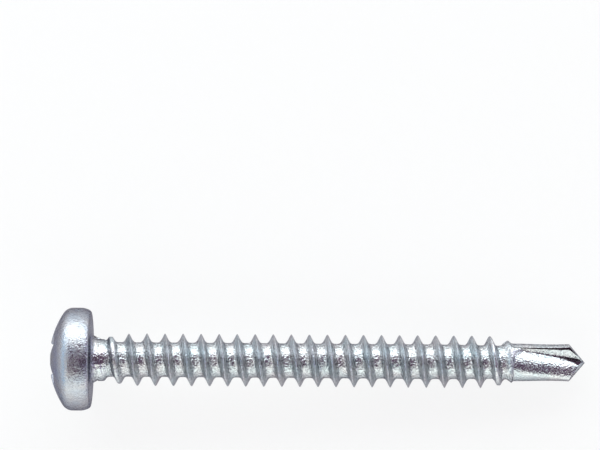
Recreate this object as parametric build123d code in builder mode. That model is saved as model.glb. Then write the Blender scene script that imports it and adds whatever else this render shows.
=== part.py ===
from build123d import *
import os
from math import asin, atan2, cos, degrees, floor, hypot, radians, sin, sqrt, tan

# Self-drilling screw, 4.2 x 38 mm: pan head with a cross recess, right-hand thread, pinched
# drill point. It is one forged and rolled piece, so it is one solid, in millimetres.
#
# It is built upright and laid down at the end. Upright, its axis is Z, the bearing face
# under the head is at Z = 0, the head is below it and the tip is above. Profiles of turned
# forms are points (radius, height), and sections of the drill point are points (x, y).

# Head
head_radius = 3.985
head_height = 3.21  # from the bearing face to the crown of the dome, before it is struck
dome_radius = 6.5
shoulder_radius = 0.9  # between the dome and the side
rim_radius = 1.35  # rounds the lower half of the side into the bearing face
rim_height = 0.8  # from the bearing face to where that rounding starts

# Cross recess, type H, number 2: its sizes are those where the wings' ends leave the dome
wing_reach = 2.2  # from the axis to a wing's end
wing_width = 1.13
wing_slope = 26.5  # degrees from the axis, of the wings' ends
wing_draft = 2.5  # of their sides
wing_depth = 1.98
hub_radius = 1.15  # of the tapered hole that the wings meet in
hub_draft = 5.75
hub_point = 0.35  # depth of its pointed bottom, below the wings' floor
wing_turn = 45  # degrees from the thread's beginning
recess_clearance = 0.2  # the recess is drawn this far out past the crown

# Neck, between the head and the thread
neck_radius = 1.6
neck_chamfer = 0.45  # where the neck flares into the bearing face
neck_end = (1.555, 1.03)
neck_groove = (1.32, 1.38)  # ends just inside the core

# Core of the shank: a polygon, with a corner wherever two straight spans of the ridge meet
spans_per_turn = 16  # the spans keep within 0.04 mm of the true helix
root_radius = 1.335
core_outline = ((1.42, 0.8), (1.35, 1.5), (root_radius, 3.0), (root_radius, 28.0), (1.275, 31.5), (root_radius, 32.3))

# Thread
pitch = 1.4
crest_radius = 2.05
crest_land = 0.03
flank_angle = 25.5  # degrees, each flank from a plane across the axis
thread_start = 0.13  # height of the ridge's crest at its beginning, above the +X axis
thread_turns = 24
foot_radius = 1.2  # the ridge is rooted this deep in the core
run_in_radius = 1.473  # the crests rise along a cone, from here at the bearing face
run_in_end = 3.1
run_out_start = 30.85  # and fall along another towards the collar
run_out_slope = 0.33

# Collar, left where the dies that pinch the point close on the threaded shank: a ring that sits
# a little askew, with a step that leans in from its lip by 45 degrees, up to the drill point
collar_radius = 1.655
collar_center = (0.045, 0, 32.47)  # of its lip
collar_tilt = 4.85  # degrees, towards +X
collar_foot = (1.3, -0.4)  # radius, and height from the lip
collar_end = 0.8  # hidden inside the drill point

# Drill point: a body with a slight waist, and two flutes that widen towards the tip
body_start = 32.45
body_outline = ((1.46, body_start), (1.45, 33.4), (1.407, 35.9), (1.445, 37.06))
tip_height = 38.3
rake_edge = Vector(1.15, 0.85)  # outer edge of the rake face, the same at every height
rake_direction = Vector(1, 0).rotate(Axis.Z, 30)
flute_start = 32.15  # height where the rake face has no width yet
flute_growth = 0.198  # width that it gains in a millimetre
foot_height = 32.5
foot_heel = (Vector(-0.254, 1.435), Vector(-1.06, 1.24))  # middle and end of the heel's arc
foot_fillet = 0.03  # between the rake face and the heel
end_height = 38.6
end_heel = (Vector(-0.85, 0.61), Vector(-1.45, 0.40))
end_fillet = 0.45
outer_reach = 0.7  # the sections are drawn this far out past the body
outer_middle = Vector(-1.9, -0.3)  # and close around it through here

# Head and neck
dome_center = (0, dome_radius - head_height)
dome_angle = degrees(asin(head_radius / dome_radius))
rim_center = (head_radius - rim_radius, -rim_height)
rim_angle = degrees(asin(rim_height / rim_radius))

with BuildPart() as head:
    with BuildSketch(Plane.XZ) as head_outline:
        with BuildLine():
            dome = CenterArc(dome_center, dome_radius, -90, dome_angle)
            Line(dome @ 1, (head_radius, -rim_height))
            rim = CenterArc(rim_center, rim_radius, 0, rim_angle)
            Polyline(rim @ 1, (neck_radius, 0), neck_end, neck_groove, (0, neck_groove[1]), dome @ 0)
        make_face()
        fillet(head_outline.vertices().sort_by_distance(dome @ 1)[0], shoulder_radius)
        chamfer(head_outline.vertices().sort_by_distance((neck_radius, 0))[0], neck_chamfer)
    revolve(axis=Axis.Z)

# Cross recess: four tapered wings about a tapered hole
wing_end = dome_center[1] - sqrt(dome_radius**2 - wing_reach**2)
recess_top = -head_height - recess_clearance
recess_floor = wing_end + wing_depth


def tapered(size, height, draft):
    """A size of the recess, given where the wings' ends leave the dome, at another height."""
    return size + (wing_end - height) * tan(radians(draft))


with BuildPart() as wing:
    for height in (recess_top, recess_floor):
        reach = tapered(wing_reach, height, wing_slope)
        width = 2 * tapered(wing_width / 2, height, wing_draft)
        with BuildSketch(Plane.XY.offset(height)):
            Rectangle(reach, width, align=(Align.MIN, Align.CENTER))
    loft(ruled=True)

with BuildPart() as recess:
    with PolarLocations(0, 4, start_angle=wing_turn):
        add(wing.part)
    with BuildSketch(Plane.XZ):
        with BuildLine():
            Polyline((0, recess_top),
                     (tapered(hub_radius, recess_top, hub_draft), recess_top),
                     (tapered(hub_radius, recess_floor, hub_draft), recess_floor),
                     (0, recess_floor + hub_point), close=True)
        make_face()
    revolve(axis=Axis.Z)

# Core of the shank
with BuildPart() as core:
    for radius, height in core_outline:
        with BuildSketch(Plane.XY.offset(height)):
            RegularPolygon(radius, spans_per_turn)
    loft(ruled=True)

# Collar, and the cutter for its step: all that lies outside the 45-degree cone through its lip
with BuildPart() as collar:
    with BuildSketch(Plane.XZ):
        with BuildLine():
            Polyline((0, collar_foot[1]), collar_foot, (collar_radius, 0), (collar_radius, collar_end),
                     (0, collar_end), close=True)
        make_face()
    revolve(axis=Axis.Z)

with BuildPart() as step_cutter:
    with BuildSketch(Plane.XZ):
        with BuildLine():
            Polyline((2 * collar_radius, -collar_radius), (0, collar_radius),
                     (2 * collar_radius, collar_radius), close=True)
        make_face()
    revolve(axis=Axis.Z)

collar_plane = Plane(collar_center, x_dir=(1, 0, 0), z_dir=(0, 0, 1)).rotated((0, collar_tilt, 0))


# Thread: a ridge of straight spans, each between two radial sections
def ridge_section(turn):
    """Corners of the ridge's section where it has gone this number of turns round the core."""
    height = thread_start + pitch * turn
    run_in = run_in_radius + (crest_radius - run_in_radius) * height / run_in_end
    run_out = crest_radius - run_out_slope * (height - run_out_start)
    crest = min(run_in, crest_radius, run_out)
    half_land = crest_land / 2 + (crest_radius - crest) * tan(radians(flank_angle))
    half_foot = crest_land / 2 + (crest_radius - foot_radius) * tan(radians(flank_angle))
    corners = [Vector(radius, 0, height + side * half)
               for radius, half in ((foot_radius, half_foot), (crest, half_land)) for side in (-1, 1)]
    return [corner.rotate(Axis.Z, 360 * turn) for corner in corners]


sections = [ridge_section(joint / spans_per_turn) for joint in range(thread_turns * spans_per_turn + 1)]
with BuildPart() as thread:
    add([ConvexPolyhedron(start + end, mode=Mode.PRIVATE) for start, end in zip(sections, sections[1:])])


# Drill point: the body, squeezed by two dies into two blades back to back
def pinched_section(height, heel, root_fillet):
    """Section of the flutes: two rake faces and two heels, half a turn apart."""
    root = rake_edge - rake_direction * flute_growth * (height - flute_start)
    mouth = rake_edge + rake_direction * outer_reach
    heel_middle, heel_end = heel
    with BuildSketch(Plane.XY.offset(height)) as section:
        with BuildLine():
            for side in (1, -1):
                Line(mouth * side, root * side)
                ThreePointArc(root * side, heel_middle * side, heel_end * side)
                ThreePointArc(heel_end * side, outer_middle * side, mouth * -side)
        make_face()
        fillet(section.vertices().sort_by(SortBy.DISTANCE)[:2], root_fillet)
    return section.sketch


with BuildPart() as drill_point:
    loft([pinched_section(foot_height, foot_heel, foot_fillet),
          pinched_section(end_height, end_heel, end_fillet)], ruled=True)
    with BuildSketch(Plane.XZ):
        with BuildLine():
            Polyline((0, body_outline[0][1]), *body_outline, (0, tip_height), close=True)
        make_face()
    revolve(axis=Axis.Z, mode=Mode.INTERSECT)

# The whole screw, upright
with BuildPart() as shank:
    add(core.part)
    add(thread.part)
    with Locations(collar_plane):
        add(collar.part)
        add(step_cutter.part, mode=Mode.SUBTRACT)
    add(drill_point.part)

with BuildPart() as upright:
    add(head.part)
    add(recess.part, mode=Mode.SUBTRACT)
    add(shank.part)

# Laid down on the rim of its head and on the last full crest, with the tip towards +X
rest_side = 0.75  # of a turn, from the crest above +X to the one underneath
full_turns = floor((run_out_start - thread_start) / pitch - rest_side) + rest_side
last_crest = thread_start + pitch * full_turns + crest_land / 2
rim_drop = head_radius - rim_radius - crest_radius
rim_distance = last_crest + rim_height
lean = atan2(rim_drop, rim_distance) + asin(rim_radius / hypot(rim_drop, rim_distance))

with BuildPart() as leaning:
    with Locations(Plane((0, 0, 0), x_dir=(0, 1, 0), z_dir=(cos(lean), 0, -sin(lean)))):
        add(upright.part)

extent = leaning.part.bounding_box()
with BuildPart() as screw:
    with Locations((-extent.center().X, -extent.center().Y, -extent.min.Z)):
        add(leaning.part)
screw.part.label = "screw"

os.makedirs("parts", exist_ok=True)
export_step(screw.part, "parts/screw.step")
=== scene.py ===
"""Looks of the self-drilling screw: one detailed mesh over the CAD solid, bright zinc plate, and
a small photographer's table.

The mesh is worked out upright in millimetres, as in the CAD source: its axis is Z, the bearing
face under the head is at 0, the head is below it and the tip above. It is built of rows of points
round the axis, from the bottom of the cross recess over the head, up the thread and along the
drill point. At the end it is laid down where the CAD solid lies."""

from math import acos, asin, atan2, cos, floor, hypot, pi, radians, sin, sqrt, tan

import bmesh
import bpy
import numpy as np
from mathutils import Matrix, Vector


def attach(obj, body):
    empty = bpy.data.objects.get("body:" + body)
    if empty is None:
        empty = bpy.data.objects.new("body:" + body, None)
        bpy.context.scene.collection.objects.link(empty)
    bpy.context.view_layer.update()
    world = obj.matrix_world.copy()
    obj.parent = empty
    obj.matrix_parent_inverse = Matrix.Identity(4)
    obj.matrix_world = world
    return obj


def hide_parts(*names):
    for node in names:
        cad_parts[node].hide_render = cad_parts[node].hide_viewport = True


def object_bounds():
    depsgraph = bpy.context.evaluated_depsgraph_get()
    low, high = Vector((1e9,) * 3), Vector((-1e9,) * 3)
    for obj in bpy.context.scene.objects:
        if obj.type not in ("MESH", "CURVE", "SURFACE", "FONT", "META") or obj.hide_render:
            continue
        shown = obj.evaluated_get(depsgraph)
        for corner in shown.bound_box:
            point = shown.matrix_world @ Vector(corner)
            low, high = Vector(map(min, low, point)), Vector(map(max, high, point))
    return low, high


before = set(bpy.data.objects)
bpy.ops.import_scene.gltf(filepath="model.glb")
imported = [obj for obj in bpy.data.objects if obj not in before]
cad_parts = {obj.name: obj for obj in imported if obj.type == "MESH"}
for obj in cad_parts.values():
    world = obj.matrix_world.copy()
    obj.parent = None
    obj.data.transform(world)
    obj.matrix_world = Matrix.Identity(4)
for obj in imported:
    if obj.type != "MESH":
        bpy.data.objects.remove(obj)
cad_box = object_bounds()

# ---------------------------------------------------------------- sizes, as in the CAD source

MM = 1000  # millimetres in a metre

HEAD_RADIUS = 3.985
HEAD_HEIGHT = 3.21  # from the bearing face to the crown of the dome, before it is struck
DOME_RADIUS = 6.5
SHOULDER_RADIUS = 0.9  # between the dome and the side
RIM_RADIUS = 1.35  # rounds the lower half of the side into the bearing face
RIM_HEIGHT = 0.8  # from the bearing face to where that rounding starts

# Cross recess: its sizes are those where the wings' ends leave the dome
WING_REACH = 2.2
WING_WIDTH = 1.13
WING_SLOPE = radians(26.5)
WING_DRAFT = radians(2.5)
WING_DEPTH = 1.98
HUB_RADIUS = 1.15
HUB_DRAFT = radians(5.75)
HUB_POINT = 0.35
RECESS_TURN = 45  # degrees from the beginning of the thread
RECESS_CLEARANCE = 0.2  # the walls are drawn this far out past the crown

# Radius and height along the neck and the core, whose groove is softer than the CAD solid's
CORE_OUTLINE = ((1.6, 0.0), (1.555, 1.03), (1.37, 1.3), (1.345, 1.6), (1.335, 3.0), (1.335, 28.0),
                (1.275, 31.5), (1.335, 32.3))
NECK_FILLET = 0.7  # flares the neck into the bearing face, where the CAD solid has a chamfer

PITCH = 1.4
CREST_RADIUS = 2.05
ROOT_RADIUS = 1.335
CREST_LAND = 0.03
FLANK_ANGLE = radians(25.5)
THREAD_START = 0.13
THREAD_TURNS = 24
RUN_IN_RADIUS = 1.473
RUN_IN_END = 3.1
RUN_OUT_START = 30.85
RUN_OUT_SLOPE = 0.33

COLLAR_RADIUS = 1.655
COLLAR_CENTER = np.array((0.045, 0.0, 32.47))  # of its lip
COLLAR_TILT = radians(4.85)
COLLAR_FOOT = (1.3, -0.4)  # radius, and height from the lip

BODY_OUTLINE = ((1.46, 32.45), (1.45, 33.4), (1.407, 35.9), (1.445, 37.06))
SHOULDER_HEIGHT = BODY_OUTLINE[-1][1]
TIP_HEIGHT = 38.3
RAKE_EDGE = np.array((1.15, 0.85))  # outer edge of the rake face, the same at every height
RAKE_DIRECTION = np.array((cos(radians(30)), sin(radians(30))))
FLUTE_START = 32.15  # height where the rake face has no width yet
FLUTE_GROWTH = 0.198  # width that it gains in a millimetre
FOOT_HEIGHT = 32.5
FOOT_HEEL = ((-0.254, 1.435), (-1.06, 1.24))  # middle and end of the heel's arc
FOOT_FILLET = 0.03  # between the rake face and the heel
END_HEIGHT = 38.6
END_HEEL = ((-0.85, 0.61), (-1.45, 0.40))
END_FILLET = 0.45
OUTER_REACH = 0.7  # the flutes are drawn this far out past the rake face's edge

# The screw lies on the rim of its head and on the last full crest, with the tip towards +X
REST_SIDE = 0.75  # of a turn, from the crest above +X to the one underneath
FULL_TURNS = floor((RUN_OUT_START - THREAD_START) / PITCH - REST_SIDE) + REST_SIDE
LAST_CREST = THREAD_START + PITCH * FULL_TURNS + CREST_LAND / 2
RIM_DROP = HEAD_RADIUS - RIM_RADIUS - CREST_RADIUS
RIM_DISTANCE = LAST_CREST + RIM_HEIGHT
LEAN = atan2(RIM_DROP, RIM_DISTANCE) + asin(RIM_RADIUS / hypot(RIM_DROP, RIM_DISTANCE))

TIP_X = cad_box[1][0] * MM
BEARING_X = TIP_X - TIP_HEIGHT * cos(LEAN)
BEARING_Z = RIM_RADIUS + (HEAD_RADIUS - RIM_RADIUS) * cos(LEAN) - RIM_HEIGHT * sin(LEAN)

# Where the upright x, y and z axes point once the screw lies down
ACROSS = Vector((0, 1, 0))
UPWARD = Vector((sin(LEAN), 0, cos(LEAN)))
ALONG = Vector((cos(LEAN), 0, -sin(LEAN)))

# From the upright frame in millimetres to the frame in metres
TURNED = Matrix((ACROSS, UPWARD, ALONG)).transposed().to_4x4()
LAID_DOWN = Matrix.Scale(1 / MM, 4) @ Matrix.Translation((BEARING_X, 0, BEARING_Z)) @ TURNED

# ---------------------------------------------------------------- the mesh

COLUMNS = 128  # points in each row round the screw
HALF = COLUMNS // 2
ANGLES = 2 * pi * np.arange(COLUMNS) / COLUMNS
TINY = 1e-6

# Rows of each rounded or curved stretch
MOUTH_ROWS = 6
DOME_ROWS = 10
SHOULDER_ROWS = 10
RIM_ROWS = 7
FACE_EDGE_ROWS = 4
FLARE_ROWS = 8
LIP_ROWS = 3
FOOT_ROWS = 4
BODY_ROWS = 20
BODY_END_ROWS = 4
CONE_ROWS = 14


def mix(start, end, share):
    return start + (end - start) * share


def from_axis(points):
    """Distance of each point from the axis."""
    return np.hypot(points[..., 0], points[..., 1])


def circle_row(radius, height, angles=ANGLES):
    """A row of points round the axis; each argument may differ from column to column."""
    radius, height, angles = np.broadcast_arrays(radius, height, angles)
    return np.stack((radius * np.cos(angles), radius * np.sin(angles), height), axis=-1)


def rounded(start, corner, end, steps):
    """Rows of a curve that leaves start and reaches end, bending near the corner between them."""
    shares = [step / steps for step in range(steps + 1)]
    return [start * (1 - t) ** 2 + corner * 2 * t * (1 - t) + end * t**2 for t in shares]


def arc_points(center, radius, start, end, steps):
    """Points of an arc in a plane, from one angle to another, both included."""
    angles = np.linspace(start, end, steps + 1)
    return [(center[0] + radius * cos(a), center[1] + radius * sin(a)) for a in angles]


def crossing(rows, gap):
    """In each column, the point between the rows where the gap, which grows row by row, is zero."""
    points = []
    for column in range(COLUMNS):
        place = np.interp(0.0, gap[:, column], np.arange(len(rows)))
        below = min(int(place), len(rows) - 2)
        points.append(mix(rows[below, column], rows[below + 1, column], place - below))
    return np.array(points)


# Cross recess

DOME_CENTER = DOME_RADIUS - HEAD_HEIGHT  # its height on the axis


def dome_height(radius):
    return DOME_CENTER - np.sqrt(DOME_RADIUS**2 - radius**2)


def on_dome(points):
    """Points (x, y) lifted to the dome."""
    return np.column_stack((points[:, :2], dome_height(from_axis(points))))


WING_END = float(dome_height(WING_REACH))
RECESS_FLOOR = WING_END + WING_DEPTH
END_COLUMNS = 4  # in each eighth of the recess, across half of a wing's end,
SIDE_COLUMNS = 6  # along the wing's side
HUB_COLUMNS = 6  # and round the tapered hole in the middle


def recess_row(height):
    """Outline of the cross recess at a height."""
    rise = WING_END - height
    reach = WING_REACH + rise * tan(WING_SLOPE)
    half_width = WING_WIDTH / 2 + rise * tan(WING_DRAFT)
    hub = HUB_RADIUS + rise * tan(HUB_DRAFT)
    corner = asin(half_width / hub)
    side = np.linspace(reach, hub * cos(corner), SIDE_COLUMNS + 1)
    eighth = [(reach, half_width * step / END_COLUMNS) for step in range(END_COLUMNS)]
    eighth += [(x, half_width) for x in side]
    eighth += arc_points((0, 0), hub, corner, pi / 4, HUB_COLUMNS)[1:]
    quarter = np.array(eighth + [(y, x) for x, y in eighth[-2:0:-1]])
    outline = []
    for quarter_turn in range(4):
        angle = radians(RECESS_TURN) + quarter_turn * pi / 2
        turn = np.array(((cos(angle), sin(angle)), (-sin(angle), cos(angle))))
        outline.append(quarter @ turn)
    row = np.column_stack((np.concatenate(outline), np.full(COLUMNS, height)))
    return np.roll(row, round(RECESS_TURN / 360 * COLUMNS), axis=0)


MOUTH_ROUNDING = 0.2
WALL_SAMPLES = 40  # outlines between which the walls' end on the dome is found


def recess_rows():
    """Rows from the recess's pointed bottom up its walls and over its slightly rounded mouth."""
    hub_floor = HUB_RADIUS - WING_DEPTH * tan(HUB_DRAFT)
    rows = []
    for share in (0.3, 0.65, 0.98):
        rows.append(circle_row(share * hub_floor, RECESS_FLOOR + HUB_POINT * (1 - share)))
    heights = np.linspace(RECESS_FLOOR, -HEAD_HEIGHT - RECESS_CLEARANCE, WALL_SAMPLES)
    walls = np.array([recess_row(height) for height in heights])
    wall_foot = walls[0]
    mouth = crossing(walls, dome_height(from_axis(walls)) - walls[..., 2])
    wall_end = mix(wall_foot, mouth, 1 - MOUTH_ROUNDING / WING_DEPTH)
    rows += [mix(wall_foot, wall_end, share) for share in (0, 0.02, 0.2, 0.4, 0.6, 0.8)]
    past_mouth = on_dome(mouth * (1 + MOUTH_ROUNDING / from_axis(mouth))[:, None])
    return rows + rounded(wall_end, mouth, past_mouth, MOUTH_ROWS)


# Head: dome, shoulder, side, rim, bearing face and the flare of the neck

RIM_CUT = 0.09  # radians of the rim's arc that the rounding of the bearing face's edge takes
FACE_CUT = 0.14  # and how much of the bearing face
NECK_START = 0.15  # height on the flare where the climbing rows of the shank begin


def core_radius(height):
    """Radius of the neck and the core, with the flare from the neck into the bearing face."""
    radii, heights = zip(*CORE_OUTLINE)
    below_flare = np.clip(NECK_FILLET - height, 0, NECK_FILLET)
    flare = NECK_FILLET - np.sqrt(NECK_FILLET**2 - below_flare**2)
    return np.interp(height, heights, radii) + flare


def head_rows():
    """Rows from the recess's bottom over the dome and round the rim to the foot of the neck."""
    shoulder_x = HEAD_RADIUS - SHOULDER_RADIUS
    shoulder_z = DOME_CENTER - sqrt((DOME_RADIUS - SHOULDER_RADIUS) ** 2 - shoulder_x**2)
    shoulder_start = atan2(shoulder_z - DOME_CENTER, shoulder_x)
    shoulder_center = (shoulder_x, shoulder_z)
    profile = arc_points(shoulder_center, SHOULDER_RADIUS, shoulder_start, 0, SHOULDER_ROWS)

    rim_x = HEAD_RADIUS - RIM_RADIUS
    rim_end = asin(RIM_HEIGHT / RIM_RADIUS)
    profile += arc_points((rim_x, -RIM_HEIGHT), RIM_RADIUS, 0, rim_end - RIM_CUT, RIM_ROWS)

    bearing_edge = rim_x + RIM_RADIUS * cos(rim_end)
    on_rim = np.array(profile[-1])
    on_face = np.array((bearing_edge - FACE_CUT, 0.0))
    profile += rounded(on_rim, np.array((bearing_edge, 0.0)), on_face, FACE_EDGE_ROWS)[1:]
    profile += [(mix(bearing_edge, core_radius(0), share), 0.0) for share in (0.3, 0.6, 0.85)]

    flare_turn = acos(1 - NECK_START / NECK_FILLET)
    for turn in np.linspace(0, flare_turn, FLARE_ROWS):
        height = NECK_FILLET * (1 - cos(turn))
        profile.append((core_radius(height), height))

    rows = recess_rows()
    mouth = rows[-1]
    dome_edge = circle_row(profile[0][0], 0.0)
    rows += [on_dome(mix(mouth, dome_edge, row / DOME_ROWS)) for row in range(1, DOME_ROWS)]
    return rows + [circle_row(radius, height) for radius, height in profile]


# Collar, which sits a little askew

COLLAR_TURN = np.array(Matrix.Rotation(COLLAR_TILT, 3, "Y"))


def collar_frame(points):
    """Points of the upright frame as the collar sees them: from its lip's center, along its axis."""
    return (points - COLLAR_CENTER) @ COLLAR_TURN


def collar_row(radius, height, angles=ANGLES):
    """A row round the collar's own axis, at a height from its lip."""
    return circle_row(radius, height, angles) @ COLLAR_TURN.T + COLLAR_CENTER


def collar_radius(height, angles):
    """Radius of the collar's side that rises to its lip, measured from the screw's axis."""
    radius = 1.5  # a first guess, which each round brings closer
    for _ in range(4):
        own = collar_frame(circle_row(radius, height, angles))
        wanted = np.interp(own[..., 2], (COLLAR_FOOT[1], 0), (COLLAR_FOOT[0], COLLAR_RADIUS))
        radius = radius + wanted - from_axis(own)
    return np.where(own[..., 2] > COLLAR_FOOT[1], radius, 0)


LIP = collar_row(COLLAR_RADIUS, 0.0)
LIP_MARGIN = 0.03  # the lip's rounding starts this far below it


# Shank: core and thread

# Differences in radius over which the crests and the roots are rounded
CREST_ROUNDING = 0.12
ROOT_ROUNDING = 0.34


def smooth_min(a, b, width):
    """The smaller of two values, rounded where they are closer than a width."""
    overlap = np.maximum(width - np.abs(a - b), 0) / width
    return np.minimum(a, b) - overlap**2 * width / 4


def smooth_max(a, b, width):
    return -smooth_min(-a, -b, width)


def crest_at(height):
    """Radius of the ridge's crest where its middle is at a height."""
    run_in = RUN_IN_RADIUS + (CREST_RADIUS - RUN_IN_RADIUS) * height / RUN_IN_END
    run_out = CREST_RADIUS - RUN_OUT_SLOPE * (height - RUN_OUT_START)
    return np.minimum(np.minimum(run_in, CREST_RADIUS), run_out)


def shank_radius(height, angles=ANGLES):
    """Radius of the threaded shank, with its crests and roots rounded."""
    core = np.maximum(core_radius(height), collar_radius(height, angles))
    turn = angles / (2 * pi)
    nearest = np.clip(np.round((height - THREAD_START) / PITCH - turn), 0, THREAD_TURNS - 1)
    middle = THREAD_START + PITCH * (turn + nearest)
    flank = CREST_RADIUS + (CREST_LAND / 2 - np.abs(height - middle)) / tan(FLANK_ANGLE)
    ridge = smooth_min(crest_at(middle), flank, CREST_ROUNDING)
    return smooth_max(core, ridge, ROOT_ROUNDING)


# Climbing rows at both ends would pass into the head and over the collar's lip, so they are
# squeezed into the neck and below the lip
NECK_SQUEEZE = 0.8  # where that starts, on either side of the bearing face
NECK_MARGIN = 0.02  # from the head's last row to the first of the climbing rows
LIP_SQUEEZE_START = 31.7
LIP_SQUEEZE_END = 34.6  # a row that would reach this height is brought down to the lip


def thread_rows():
    """Rows that climb with the ridge, at its crest, on its flanks and between its turns."""
    turns = np.arange(THREAD_TURNS)[:, None] + ANGLES / (2 * pi)
    middle = THREAD_START + PITCH * turns
    none = np.zeros_like(middle)
    land = CREST_LAND / 2 + (CREST_RADIUS - crest_at(middle)) * tan(FLANK_ANGLE)
    foot = none + CREST_LAND / 2 + (CREST_RADIUS - ROOT_RADIUS) * tan(FLANK_ANGLE)
    marks = [0.5 * land]
    marks += [mix(land, foot, share) for share in (0, 0.1, 0.35, 0.6, 0.8, 1)]
    marks += [foot + past_foot for past_foot in (0.07, 0.17)]
    offsets = [none - PITCH / 2] + [-mark for mark in reversed(marks)] + [none] + marks
    heights = np.stack([middle + offset for offset in offsets], axis=1).reshape(-1, COLUMNS)

    neck_ends = (NECK_START + NECK_MARGIN, NECK_SQUEEZE)
    in_neck = np.interp(heights, (-NECK_SQUEEZE, NECK_SQUEEZE), neck_ends)
    share = (heights - LIP_SQUEEZE_START) / (LIP_SQUEEZE_END - LIP_SQUEEZE_START)
    below_lip = mix(LIP_SQUEEZE_START, LIP[:, 2] - LIP_MARGIN, share)
    squeezed = np.where(share > 0, below_lip, np.maximum(heights, in_neck))
    return [circle_row(shank_radius(row), row) for row in squeezed]


# Drill point: two rake faces and two heels between two lands

RAKE_STEPS = 40  # points of each flute's outline: along the rake face,
FILLET_STEPS = 12  # round its root
HEEL_STEPS = 80  # and along the heel
HEEL_SAMPLES = 400  # points of the heel's arc before the root is rounded


def arc_through(start, middle, end, steps):
    """Points of the counter-clockwise arc through three points, from the first to the last."""
    (ax, ay), (bx, by), (cx, cy) = start, middle, end
    a, b, c = ax**2 + ay**2, bx**2 + by**2, cx**2 + cy**2
    area = 2 * (ax * (by - cy) + bx * (cy - ay) + cx * (ay - by))
    center_x = (a * (by - cy) + b * (cy - ay) + c * (ay - by)) / area
    center_y = (a * (cx - bx) + b * (ax - cx) + c * (bx - ax)) / area
    radius = hypot(ax - center_x, ay - center_y)
    first = atan2(ay - center_y, ax - center_x)
    last = atan2(cy - center_y, cx - center_x)
    if last < first:
        last += 2 * pi
    return np.array(arc_points((center_x, center_y), radius, first, last, steps))


def points_along(outline, places):
    """Points of an outline at places counted in its own points, with fractions between them."""
    numbers = np.arange(len(outline))
    x, y = (np.interp(places, numbers, outline[:, axis]) for axis in (0, 1))
    return list(np.column_stack((x, y)))


def flute_corner(height):
    """Where the rake face and the heel meet at a height, before their corner is rounded."""
    return RAKE_EDGE - RAKE_DIRECTION * FLUTE_GROWTH * (height - FLUTE_START)


def flute_outline(height, heel, fillet):
    """Outline of one flute at a height: in along the rake face, round the root, out along the heel."""
    corner = flute_corner(height)
    mouth = RAKE_EDGE + RAKE_DIRECTION * OUTER_REACH
    heel_arc = arc_through(corner, *heel, HEEL_SAMPLES)
    leaving = heel_arc[1] - heel_arc[0]
    opening = acos(float(RAKE_DIRECTION @ leaving) / hypot(*leaving))
    cut = fillet / tan(opening / 2)
    heel_start = int(np.searchsorted(from_axis(heel_arc - corner), cut))
    rake_end = corner + RAKE_DIRECTION * cut
    rake = [mix(mouth, rake_end, step / RAKE_STEPS) for step in range(RAKE_STEPS + 1)]
    root = rounded(rake_end, corner, heel_arc[heel_start], FILLET_STEPS)
    heel_places = np.linspace(heel_start, HEEL_SAMPLES, HEEL_STEPS + 1)
    return np.array(rake + root[1:] + points_along(heel_arc, heel_places)[1:])


FOOT_FLUTE = flute_outline(FOOT_HEIGHT, FOOT_HEEL, FOOT_FILLET)
END_FLUTE = flute_outline(END_HEIGHT, END_HEEL, END_FILLET)

# The body's waist is the cubic through its four points
BODY_CURVE = np.polyfit([h for r, h in BODY_OUTLINE], [r for r, h in BODY_OUTLINE], 3)


def flute_at(height):
    """Outline of one flute at a height."""
    return mix(FOOT_FLUTE, END_FLUTE, (height - FOOT_HEIGHT) / (END_HEIGHT - FOOT_HEIGHT))


def body_radius(height):
    """Radius of the drill point's body, up a slight waist and then down the cone of its tip."""
    if height <= SHOULDER_HEIGHT:
        return float(np.polyval(BODY_CURVE, height))
    return BODY_OUTLINE[-1][0] * (TIP_HEIGHT - height) / (TIP_HEIGHT - SHOULDER_HEIGHT)


# Columns of half a row of the drill point
RAKE_CORNER, RAKE, ROOT, HEEL, HEEL_CORNER = 4, 6, 6, 18, 4
LAND = HALF - RAKE_CORNER - RAKE - ROOT - HEEL - HEEL_CORNER
FIRST_COLUMN = 13  # where the rake corner is in a row

EDGE_ROUNDING = 0.19  # of the edges between the body and the flutes
MOST_EDGE_ROUNDING = 0.3  # share of the width of the face beside the edge
ROOT_REACH = ((36.0, 36.9, 37.5, 38.1), (0, 0.2, 0.42, 0.75))  # heights, and how far it reaches
MOST_ROOT_REACH = 0.8  # share of the heel


def flute_places(flute, body):
    """Places on a flute's outline: where it enters the body, where its root begins and ends, and
    where it comes out of the body again."""
    radii = from_axis(flute)
    places = np.arange(len(flute))
    deepest = int(np.argmin(radii))
    edge = float(np.interp(-body, -radii[:deepest + 1], places[:deepest + 1]))
    heel = float(np.interp(body, radii[deepest:], places[deepest:]))
    root_start = max(RAKE_STEPS, edge)
    root_end = min(RAKE_STEPS + FILLET_STEPS, heel)
    return edge, root_start, root_end, heel


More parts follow.
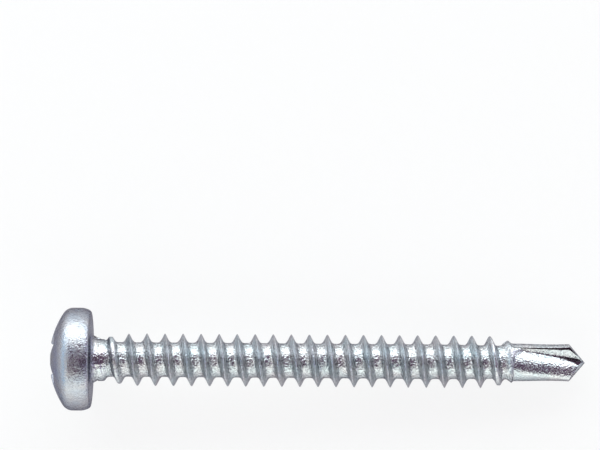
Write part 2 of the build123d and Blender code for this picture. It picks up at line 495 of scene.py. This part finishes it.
def point_row(height):
    """Section of the drill point at a height, with its long edges slightly rounded."""
    body = body_radius(height)
    flute = flute_at(height)
    edge, root_start, root_end, heel = flute_places(flute, body)

    def at(place):
        return points_along(flute, [place])[0]

    def on_body(angle):
        return body * np.array((cos(angle), sin(angle)))

    # Where the roundings of the two edges begin and end
    rake_width = hypot(*(at(edge) - at(root_start)))
    heel_width = hypot(*(at(heel) - at(root_end)))
    rake_round = min(EDGE_ROUNDING, MOST_EDGE_ROUNDING * rake_width)
    heel_round = min(EDGE_ROUNDING, MOST_EDGE_ROUNDING * heel_width)
    rake_place = mix(edge, root_start, rake_round / max(rake_width, TINY))
    heel_place = mix(heel, root_end, heel_round / max(heel_width, TINY))
    land_end = atan2(*at(edge)[::-1]) - rake_round / body
    land_start = atan2(*at(heel)[::-1]) + heel_round / body

    # Near the tip the root's rounding reaches further along the heel
    corner = flute_corner(height)
    fillet = hypot(*(at(root_start) - corner))
    reach = max(0, np.interp(height, *ROOT_REACH) - fillet)
    heel_share = min(MOST_ROOT_REACH, reach / max(heel_width, TINY))
    heel_side = mix(root_end, heel_place, heel_share)

    half = rounded(on_body(land_end), at(edge), at(rake_place), RAKE_CORNER)[:-1]
    half += points_along(flute, np.linspace(rake_place, root_start, RAKE + 1)[:-1])
    half += rounded(at(root_start), corner, at(heel_side), ROOT)[:-1]
    half += points_along(flute, np.linspace(heel_side, heel_place, HEEL + 1)[:-1])
    half += rounded(at(heel_place), at(heel), on_body(land_start), HEEL_CORNER)[:-1]
    half += [on_body(angle) for angle in np.linspace(land_start, land_end + pi, LAND + 1)[:-1]]
    half = np.array(half)
    row = np.roll(np.concatenate((half, -half)), FIRST_COLUMN, axis=0)
    return np.column_stack((row, np.full(COLUMNS, height)))


# The collar's step, from its lip down to the foot of the drill point

FOOT_RANGE = (32.4, 33.4)  # heights between which the foot lies
FOOT_SAMPLES = 51
STEP_TURNS = (radians(-10), 0, radians(36))  # on both sides of the line through the rake edges
STEP_SLOPES = (1, 0.42, 1)  # less where the step runs out into a flute's root


def step_row(foot, share):
    """A row between the collar's lip and the foot of the drill point, on the cone through both."""
    own = collar_frame(foot)
    angles = np.unwrap(np.arctan2(own[:, 1], own[:, 0]))
    angles += 2 * pi * np.round((ANGLES[HALF] - angles[HALF]) / (2 * pi))
    radius = mix(COLLAR_RADIUS, from_axis(own), share)
    return collar_row(radius, own[:, 2] * share, mix(ANGLES, angles, share))


def step_foot():
    """The row where the step meets the drill point."""
    table = np.array([point_row(height) for height in np.linspace(*FOOT_RANGE, FOOT_SAMPLES)])
    top = table[-1]
    rake_angle = atan2(*RAKE_EDGE[::-1])
    past_rake = (np.arctan2(top[:, 1], top[:, 0]) - rake_angle + pi / 4) % pi - pi / 4
    slope = np.interp(past_rake, STEP_TURNS, STEP_SLOPES)
    own = collar_frame(table)
    return crossing(table, from_axis(own) + own[..., 2] * slope - COLLAR_RADIUS)


# Rows of the drill point

SHOULDER_ROUNDING = 0.05  # on either side of the shoulder's height
WEB_MARGIN = 1.04  # the last row's body is this much wider than the web between the flutes
TIP_STEP = 0.002


def last_height():
    """Height of the last row below the apex, where the flutes still cut into the body."""
    height = TIP_HEIGHT
    while body_radius(height) < WEB_MARGIN * from_axis(flute_at(height)).min():
        height -= TIP_STEP
    return height


def point_rows():
    """Rows from the collar's lip down its step and along the drill point to its tip."""
    foot = step_foot()
    start = point_row(FOOT_RANGE[1])
    before_lip = LIP[:, 2] - LIP_MARGIN
    before_lip = circle_row(shank_radius(before_lip), before_lip)
    rows = rounded(before_lip, LIP, step_row(foot, 0.2), LIP_ROWS)[1:]
    rows += [step_row(foot, share) for share in (0.4, 0.6, 0.8)]
    rows += rounded(step_row(foot, 0.85), foot, mix(foot, start, 0.15), FOOT_ROWS)
    rows += [mix(foot, start, share) for share in (0.4, 0.7)]

    body_end = SHOULDER_HEIGHT - SHOULDER_ROUNDING
    cone_start = SHOULDER_HEIGHT + SHOULDER_ROUNDING
    rows += [point_row(height) for height in np.linspace(FOOT_RANGE[1], body_end, BODY_ROWS)]
    shoulder = [point_row(height) for height in (body_end, SHOULDER_HEIGHT, cone_start)]
    rows += rounded(*shoulder, BODY_END_ROWS)[1:]
    cone = np.linspace(cone_start, last_height(), CONE_ROWS)
    rows += [point_row(height) for height in cone[1:]]
    return rows


# The whole screw

SAME_POINT = 2e-5  # points closer than this are merged


def strip(lower, upper):
    """Quads between two rows of vertex numbers, column 0 to the last, without the seam."""
    return [(lower[j], lower[j + 1], upper[j + 1], upper[j]) for j in range(COLUMNS - 1)]


def seam(left, right, heights):
    """Triangles that join two columns whose rows don't meet, from the lowest to the highest."""
    faces, i, j = [], 0, 0
    while i + 1 < len(left) or j + 1 < len(right):
        right_done = j + 1 == len(right)
        if right_done or (i + 1 < len(left) and heights[left[i + 1]] < heights[right[j + 1]]):
            faces.append((left[i], right[j], left[i + 1]))
            i += 1
        else:
            faces.append((left[i], right[j], right[j + 1]))
            j += 1
    return faces


def screw_faces(numbers, first, last, heights):
    """Faces between the rows, and fans to the recess's bottom and the tip, which are the two
    vertices after the rows' own. From the row first to the row last the rows climb."""
    faces = []
    for lower, upper in zip(numbers, numbers[1:]):
        faces += strip(lower, upper)
    for row in list(range(first)) + list(range(last, len(numbers) - 1)):
        lower, upper = numbers[row], numbers[row + 1]
        faces.append((lower[-1], lower[0], upper[0], upper[-1]))
    climbing = numbers[first:last + 1]
    faces += seam(climbing[:, -1], climbing[:, 0], heights)
    bottom, tip = numbers.size, numbers.size + 1
    faces += [(bottom, numbers[0][(j + 1) % COLUMNS], numbers[0][j]) for j in range(COLUMNS)]
    faces += [(tip, numbers[-1][j], numbers[-1][(j + 1) % COLUMNS]) for j in range(COLUMNS)]
    return [tuple(int(number) for number in face) for face in faces]


def merge_doubles(mesh):
    """Merges the points that fall together where the rake face or the heel runs out to nothing."""
    working = bmesh.new()
    working.from_mesh(mesh)
    bmesh.ops.remove_doubles(working, verts=working.verts, dist=SAME_POINT)
    working.to_mesh(mesh)
    working.free()


def screw_mesh():
    """The upright mesh in millimetres, with its finish, its painted shade and dark reflections, and
    its upright places as attributes.
    """
    head, thread, point = head_rows(), thread_rows(), point_rows()
    rows = np.array(head + thread + point)
    first, last = len(head) - 1, len(head) + len(thread)
    ends = [(0, 0, RECESS_FLOOR + HUB_POINT), (0, 0, TIP_HEIGHT)]
    points = np.concatenate((rows.reshape(-1, 3), ends))
    numbers = np.arange(len(rows) * COLUMNS).reshape(-1, COLUMNS)
    mesh = bpy.data.meshes.new("screw_visual")
    mesh.from_pydata(points.tolist(), [], screw_faces(numbers, first, last, points[:, 2]))
    upright = mesh.attributes.new("upright", "FLOAT_VECTOR", "POINT")
    upright.data.foreach_set("vector", points.astype(np.float32).ravel())
    finish_and_shade = surface_of(points)
    # Painted shade and dark reflections along the drill point's edges and root
    finish_and_shade["painted_shade"] = np.append(painted_shade(rows, last), (0, 0))
    for name, values in finish_and_shade.items():
        layer = mesh.attributes.new(name, "FLOAT", "POINT")
        layer.data.foreach_set("value", values.astype(np.float32))
    merge_doubles(mesh)
    return mesh


# ---------------------------------------------------------------- finish and painted shade from place to place

# Heights and radii over which the finish of one zone gives way to the next one's
HEAD_END = (0.1, 0.4)
NECK_END = (1.0, 1.4)
ROOTS_END = (1.0, 1.6)  # the neck below counts as a root, however far out it reaches
POINT_START = (32.4, 32.8)
SIDE_START = (3.0, 3.4)  # radii on the head

# Strengths on the head, in the thread's root, at its crest and on the drill point
COARSE = (0.16, 1.0, 0.5, 0.0)
FINE = (0.8, 0.6, 0.6, 0.9)
SPECKLE = (0.15, 0.26, 0.14, 0.48)
NECK_GRAIN = 0.35  # share of the coarse grain and the speckles that the neck has

HEAD_ROUGHNESS = 0.25
SHANK_ROUGHNESS = ((0, 0.3, 0.7, 0.95), (0.10, 0.28, 0.28, 0.12))  # from the root to the crest
POINT_ROUGHNESS = 0.08
SIDE_BRIGHT = 0.46
SIDE_SHEER = 0.7

# Heights where the tools left rings, on the neck and below the drill point
NECK_RINGS = (0.05, 0.15, 0.6, 0.9)
COLLAR_RINGS = (31.9, 32.2, 32.6, 32.7)
LEAST_RINGS = 0.4  # their strength, which grows to 1 on the side that is down in the picture


def surface_of(points):
    """The finish for the material: how deep the coarse and the fine grain are, how rough and how
    speckled the plate is, how deep the tools' rings are, how bright the plate is, and how much it
    darkens at a grazing angle."""
    radius, height = from_axis(points), points[:, 2]
    rise = np.clip((radius - ROOT_RADIUS) / (CREST_RADIUS - ROOT_RADIUS), 0, 1)
    rise *= np.interp(height, ROOTS_END, (0, 1))
    point = np.interp(height, POINT_START, (0, 1))
    shank = np.interp(height, HEAD_END, (0, 1)) - point
    head = 1 - np.interp(height, HEAD_END, (0, 1))
    side = head * np.interp(radius, SIDE_START, (0, 1))
    grained = shank * np.interp(height, NECK_END, (NECK_GRAIN, 1))

    def by_zone(strengths, on_shank):
        on_head, in_root, at_crest, on_point = strengths
        return on_head * head + mix(in_root, at_crest, rise) * on_shank + on_point * point

    below = np.clip(-points[:, 0] / np.maximum(radius, TINY), 0, 1)
    rings = np.interp(height, NECK_RINGS + COLLAR_RINGS, (0, 1, 1, 0) * 2)
    shank_rough = shank * np.interp(rise, *SHANK_ROUGHNESS)
    return {
        "coarse": by_zone(COARSE, grained),
        "fine": by_zone(FINE, shank),
        "rough": HEAD_ROUGHNESS * head + shank_rough + POINT_ROUGHNESS * point,
        "speckle": by_zone(SPECKLE, grained),
        "rings": rings * mix(LEAST_RINGS, 1.0, below),
        "bright": shank + point + SIDE_BRIGHT * side,
        "sheer": shank * (1 - rise) + point + SIDE_SHEER * side,
    }


# Painted shade and dark reflections on the drill point: heights, and how dark each is there
RAKE_EDGE_SHADE = ((32.5, 32.9), (0, 1))  # along the edge of the rake face
# The line along the root's middle is a painted shadow in the crease
CREASE_SHADE = ((32.9, 33.1, 33.5), (0, 1, 0.8))  # a line along the middle of the root
ROOT_SHADE = ((36.2, 36.9), (0, 1))  # all of the root, where it meets the tip
WEB_SHADE = ((37.0, 37.5, 37.7, 37.85), (0, 0.6, 2, HEEL))  # columns of the heel beside the root
HEEL_EDGE_SHADE = ((37.3, 37.5), (0, 1))  # the heel's outer columns
HEEL_EDGE_COLUMNS = 3
CONE_SHADE = ((SHOULDER_HEIGHT, 37.1), (0, 0.9))  # the heel's corner on the cone


def painted_shade(rows, first):
    """How dark the plate is painted, as painted shade and dark reflections: along the edges of the
    drill point and the middle of its root, and where the root meets the tip. The drill point's rows
    begin at the row with the number first."""
    heights = rows[..., 2].mean(axis=1)[:, None]
    root_start = FIRST_COLUMN + RAKE_CORNER + RAKE
    heel_start = root_start + ROOT
    heel = np.arange(HEEL)
    web = np.clip(np.interp(heights, *WEB_SHADE) - heel, 0, 1)
    heel_edge = np.interp(heights, *HEEL_EDGE_SHADE) * (heel >= HEEL - HEEL_EDGE_COLUMNS)
    marks = (
        (FIRST_COLUMN + np.arange(1, RAKE_CORNER), np.interp(heights, *RAKE_EDGE_SHADE)),
        (root_start + np.arange(2, ROOT), np.interp(heights, *ROOT_SHADE)),
        (root_start + np.array([ROOT // 2]), np.interp(heights, *CREASE_SHADE)),
        (heel_start + heel, np.maximum(web, heel_edge)),
        (heel_start + np.array([HEEL + HEEL_CORNER // 2]), np.interp(heights, *CONE_SHADE)),
    )
    shades = np.zeros(rows.shape[:2])
    for half in (0, HALF):
        for columns, strength in marks:
            shades[:, (columns + half) % COLUMNS] = strength
    shades[:first] = 0
    return shades


# ---------------------------------------------------------------- the piece

SHARP_ANGLE = radians(42)

screw_mesh_data = screw_mesh()
screw_mesh_data.transform(LAID_DOWN)
screw_mesh_data.shade_smooth()
screw_mesh_data.set_sharp_from_angle(angle=SHARP_ANGLE)
screw = bpy.data.objects.new("screw_visual", screw_mesh_data)
bpy.context.scene.collection.objects.link(screw)
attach(screw, "root")
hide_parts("screw")

# ---------------------------------------------------------------- materials


class Tree:
    """A new material, and short ways to add nodes to it. A node's inputs, named or numbered, are
    given as constants or as outputs of other nodes."""

    def __init__(self, name):
        self.material = bpy.data.materials.new(name)
        self.material.use_nodes = True
        self.material.node_tree.nodes.clear()

    def add(self, kind, inputs, **settings):
        node = self.material.node_tree.nodes.new(kind)
        for name, value in settings.items():
            setattr(node, name, value)
        for socket, value in inputs.items():
            if isinstance(value, bpy.types.NodeSocket):
                self.material.node_tree.links.new(value, node.inputs[socket])
            else:
                node.inputs[socket].default_value = value
        return node

    def attribute(self, name, socket="Fac"):
        return self.add("ShaderNodeAttribute", {}, attribute_name=name).outputs[socket]

    def noise(self, vector, scale, detail):
        inputs = {"Vector": vector, "Scale": scale, "Detail": detail}
        return self.add("ShaderNodeTexNoise", inputs).outputs["Fac"]

    def pattern(self, vector, scale, detail, start, end=(0, 1), curve="LINEAR"):
        """A noise whose values from the first to the last of start go to those of end."""
        inputs = {"Value": self.noise(vector, scale, detail)}
        inputs |= {"From Min": start[0], "From Max": start[1], "To Min": end[0], "To Max": end[1]}
        return self.add("ShaderNodeMapRange", inputs, interpolation_type=curve).outputs["Result"]

    def math(self, operation, a, b):
        return self.add("ShaderNodeMath", {0: a, 1: b}, operation=operation).outputs[0]

    def tint(self, share, a, b):
        inputs = {"Factor": share, "A": a, "B": b}
        return self.add("ShaderNodeMix", inputs, data_type="RGBA").outputs["Result"]

    def finished(self, shader):
        """The material, once its surface is this node."""
        self.add("ShaderNodeOutputMaterial", {"Surface": shader.outputs[0]})
        return self.material


# The forged head and the rolled shank have two tints each, which drift into each other
FORGED_TINTS = ((0.28, 0.29, 0.38, 1), (0.32, 0.32, 0.36, 1))
ROLLED_TINTS = ((0.56, 0.61, 0.64, 1), (0.63, 0.62, 0.64, 1))
# Colour of the painted shade and dark reflections on the drill point
PAINTED_SHADE_TINT = (0.025, 0.014, 0.022, 1)
SHEER_TINTS = ((0.42, 0.41, 0.45, 1), (0.08, 0.06, 0.10, 1))  # at a grazing angle, by sheer

# Noises in the plate: waves in a millimetre, detail, and the values between which each one rises
CLOUDS = (0.8, 3, (0.35, 0.65))
DULLNESS = (3.0, 2, (0.3, 0.7))
SPECKLES = (11.0, 1, (0.48, 0.62))
PITS = (5.0, 1, (0.36, 0.56))
RINGS = (6.0, 1, (0.4, 0.6))
GRAIN = (8.0, 1)
RING_STRETCH = (0.4, 0.4, 1.0)  # the rings' noise is longer across the screw than along it
DULLNESS_RANGE = (0.8, 1.3)  # by which it multiplies the roughness

# Depths of the bumps, in millimetres
PIT_DEPTH = 0.035
GRAIN_DEPTH = 0.05
RING_DEPTH = 0.05


def zinc_plate():
    """Zinc plate: darker on the forged head, pitted most in the thread's roots, and speckled most
    on the drill point, where it is smoothest between the speckles. Painted shade and dark reflections
    darken it along the drill point's edges and root."""
    tree = Tree("zinc_plate")
    place = tree.attribute("upright", "Vector")

    clouds = tree.pattern(place, *CLOUDS)
    forged = tree.tint(clouds, *FORGED_TINTS)
    rolled = tree.tint(clouds, *ROLLED_TINTS)
    plate = tree.tint(tree.attribute("bright"), forged, rolled)

    dullness = tree.pattern(place, *DULLNESS, DULLNESS_RANGE)
    roughness = tree.math("MULTIPLY", tree.attribute("rough"), dullness)
    speckles = tree.pattern(place, *SPECKLES, curve="SMOOTHSTEP")
    speckles = tree.math("MULTIPLY", tree.attribute("speckle"), speckles)

    def bumps(pattern, strength, depth):
        return tree.math("MULTIPLY", pattern, tree.math("MULTIPLY", tree.attribute(strength), depth))

    stretched = tree.add("ShaderNodeMapping", {"Vector": place, "Scale": RING_STRETCH})
    rings = tree.pattern(stretched.outputs["Vector"], *RINGS, curve="SMOOTHSTEP")
    pits = tree.pattern(place, *PITS, curve="SMOOTHSTEP")
    height = tree.math("ADD", bumps(pits, "coarse", PIT_DEPTH),
                       bumps(tree.noise(place, *GRAIN), "fine", GRAIN_DEPTH))
    height = tree.math("ADD", height, bumps(rings, "rings", RING_DEPTH))
    bump = tree.add("ShaderNodeBump", {"Height": height, "Distance": 1 / MM})

    return tree.finished(tree.add("ShaderNodeBsdfPrincipled", {
        "Metallic": 1.0,
        # painted shade and dark reflections darken the plate along the drill point's edges and root
        "Base Color": tree.tint(tree.attribute("painted_shade"), plate, PAINTED_SHADE_TINT),
        "Specular Tint": tree.tint(tree.attribute("sheer"), *SHEER_TINTS),
        "Roughness": tree.math("ADD", roughness, speckles),
        "Normal": bump.outputs["Normal"],
    }))


def plain_paint(name, color):
    tree = Tree(name)
    return tree.finished(tree.add("ShaderNodeBsdfDiffuse", {"Color": (*color, 1)}))


PAPER_COLOR = (0.96, 0.96, 0.96, 1)
PAPER_GLOW = 0.82


def white_paper(name, share):
    """White paper that the camera, and reflections in the metal, see this share closer to white."""
    tree = Tree(name)
    path = tree.add("ShaderNodeLightPath", {})
    seen = path.outputs["Is Camera Ray"]
    for ray in ("Is Glossy Ray", "Is Transmission Ray"):
        seen = tree.math("MAXIMUM", seen, path.outputs[ray])
    paper = tree.add("ShaderNodeBsdfDiffuse", {"Color": PAPER_COLOR})
    white = tree.add("ShaderNodeEmission", {"Strength": 1.0})
    shares = {0: tree.math("MULTIPLY", seen, share), 1: paper.outputs[0], 2: white.outputs[0]}
    return tree.finished(tree.add("ShaderNodeMixShader", shares))


screw_mesh_data.materials.append(zinc_plate())

# ---------------------------------------------------------------- table and cards, in metres


def flat_panel(name, start, end, paint):
    """A rectangle between two opposite corners, level if they share a height and else upright."""
    (x0, y0, z0), (x1, y1, z1) = start, end
    mesh = bpy.data.meshes.new(name)
    mesh.from_pydata([(x0, y0, z0), (x0, y1, z0), (x1, y1, z1), (x1, y0, z1)], [], [(0, 1, 2, 3)])
    mesh.materials.append(paint)
    panel = bpy.data.objects.new(name, mesh)
    bpy.context.scene.collection.objects.link(panel)
    return panel


FLOOR_HALF = 1.6
flat_panel("floor", (FLOOR_HALF, -FLOOR_HALF, 0), (-FLOOR_HALF, FLOOR_HALF, 0),
           white_paper("paper", PAPER_GLOW))

# Cards out of the picture: a dark one over the camera, which the facing side of the metal
# reflects, with an end that hangs down past the tip, and a tinted one past each end of the screw
DARK_HEIGHT = 0.36
DARK_BOTTOM = 0.12  # of the hanging end
DARK_ANGLES = (radians(40), radians(44))  # from straight up, down and up in the picture
DARK_LOW = -DARK_HEIGHT * tan(DARK_ANGLES[0])
DARK_HIGH = DARK_HEIGHT * tan(DARK_ANGLES[1])
DARK_PAST_HEAD = 0.13
DARK_PAST_TIP = 0.5
dark_paint = plain_paint("dark_card", (0.14, 0.09, 0.13))
cards = [
    flat_panel("dark_card", (-DARK_PAST_HEAD, DARK_LOW, DARK_HEIGHT),
               (DARK_PAST_TIP, DARK_HIGH, DARK_HEIGHT), dark_paint),
    flat_panel("dark_end", (DARK_PAST_TIP, DARK_LOW, DARK_HEIGHT),
               (DARK_PAST_TIP, DARK_HIGH, DARK_BOTTOM), dark_paint),
]

END_DISTANCE = 0.55
END_HALF = 0.5
END_BOTTOM, END_TOP = 0.001, 0.5
for name, x, color in (("blue_card", -END_DISTANCE, (0.62, 0.76, 0.90)),
                       ("lilac_card", END_DISTANCE, (0.72, 0.62, 0.90))):
    cards.append(flat_panel(name, (x, -END_HALF, END_BOTTOM), (x, END_HALF, END_TOP),
                            plain_paint(name, color)))
for card in cards:
    card.visible_camera = False

# ---------------------------------------------------------------- lamps and world, in metres


def softbox(name, place, size, radiance, color):
    """An area light that faces the screw; radiance 1 shows as white in a mirror."""
    lamp = bpy.data.lights.new(name, "AREA")
    lamp.shape = "RECTANGLE"
    lamp.size, lamp.size_y = size
    lamp.energy = radiance * pi * size[0] * size[1]
    lamp.color = color
    box = bpy.data.objects.new(name, lamp)
    box.location = place
    box.rotation_euler = (-Vector(place)).to_track_quat("-Z", "Y").to_euler()
    box.visible_camera = False
    bpy.context.scene.collection.objects.link(box)


softbox("white_softbox", place=(0.0, 0.41, 0.18), size=(1.0, 0.37),
        radiance=2.5, color=(0.88, 1.0, 1.0))
softbox("pale_softbox", place=(0.0, -0.41, 0.20), size=(1.0, 0.42),
        radiance=0.75, color=(0.88, 1.0, 0.92))

SKY_COLOR = (1.0, 0.99, 0.96, 1)
SKY_STRENGTH = 0.95
world = bpy.data.worlds.new("studio")
world.use_nodes = True
sky = world.node_tree.nodes["Background"]
sky.inputs["Color"].default_value = SKY_COLOR
sky.inputs["Strength"].default_value = SKY_STRENGTH
bpy.context.scene.world = world

# ---------------------------------------------------------------- camera

# The photograph looks straight down on the screw's side, centred beside it
CAMERA_DISTANCE = 236.6
IMAGE_CENTER = (10.53, 16.13)  # mm along the upright x, which is up in the picture, and the axis
LENS = 183.0
SENSOR_WIDTH = 36.0
ROLL = radians(0.43)
CLIP_RANGE = (0.01, 10.0)

camera_data = bpy.data.cameras.new("camera")
camera_data.lens = LENS
camera_data.sensor_width = SENSOR_WIDTH
camera_data.clip_start, camera_data.clip_end = CLIP_RANGE
camera = bpy.data.objects.new("camera", camera_data)
camera_place = LAID_DOWN @ Vector((IMAGE_CENTER[0], CAMERA_DISTANCE, IMAGE_CENTER[1]))
camera_turn = Matrix((ALONG, ACROSS, UPWARD)).transposed() @ Matrix.Rotation(ROLL, 3, "Z")
camera.matrix_world = Matrix.Translation(camera_place) @ camera_turn.to_4x4()
bpy.context.scene.collection.objects.link(camera)
bpy.context.scene.camera = camera
bpy.context.scene.view_settings.view_transform = "Standard"
